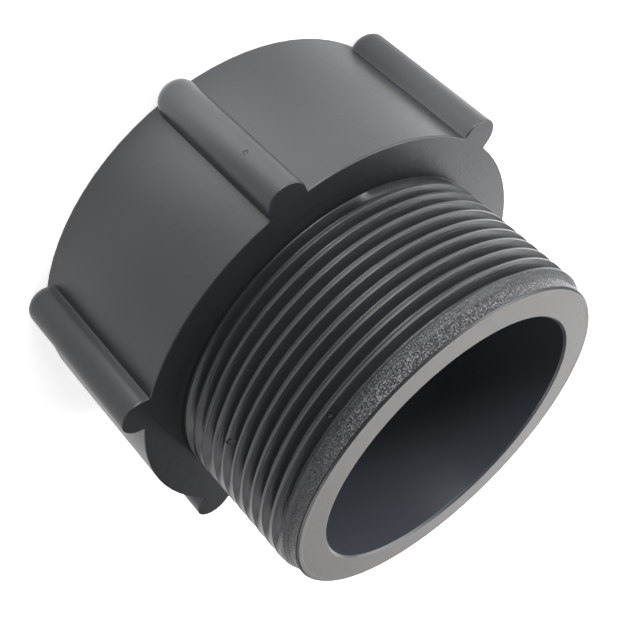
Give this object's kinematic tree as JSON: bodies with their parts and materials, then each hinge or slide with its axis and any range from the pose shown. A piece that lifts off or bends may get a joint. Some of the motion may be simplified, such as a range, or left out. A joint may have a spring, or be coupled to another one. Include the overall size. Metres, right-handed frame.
{
  "type": "ibc tap adapter",
  "caption": "Black plastic tap adapter: a lugged collar with a coarse female thread for a container outlet, and a spigot with a fine male pipe thread, joined by one straight bore.",
  "frame": {"origin": "centre of the collar's open rim, on the bore's axis, where the adapter stands", "axes": "+Z along the bore towards the spigot's end; +X through one of the six grip lugs"},
  "size_m": [0.0806, 0.0726, 0.0539],
  "materials": {
    "moulded_plastic": "black moulded polypropylene, semi-matte, with a machined end face on the spigot",
    "washer_rubber": "matt black rubber"
  },
  "bodies": {
    "root": {"adapter_body": "moulded_plastic", "sealing_washer": "washer_rubber"}
  },
  "joints": []
}
